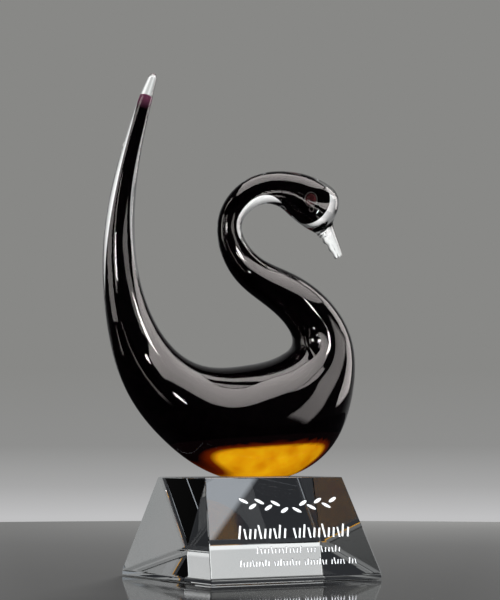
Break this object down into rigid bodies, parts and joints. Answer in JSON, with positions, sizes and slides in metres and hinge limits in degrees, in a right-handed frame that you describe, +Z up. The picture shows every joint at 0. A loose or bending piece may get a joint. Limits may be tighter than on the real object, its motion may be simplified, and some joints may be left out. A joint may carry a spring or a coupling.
{
  "type": "glass swan award",
  "caption": "Hot-worked glass swan with a tall curved tail and a hooked neck, clear glass over a dark core with amber low in the breast, bonded to a sloped clear crystal block.",
  "frame": {"origin": "centre of the crystal block's underside", "axes": "+Z up, the swan's head towards +X and its tail towards -X, the block's front face towards -Y"},
  "size_m": [0.1833, 0.116, 0.3184],
  "materials": {
    "cased_glass": "fire polished, clear casing over a dark aubergine core",
    "crystal": "cut and polished, clear"
  },
  "bodies": {
    "root": {"swan": "cased_glass", "base": "crystal"}
  },
  "joints": []
}
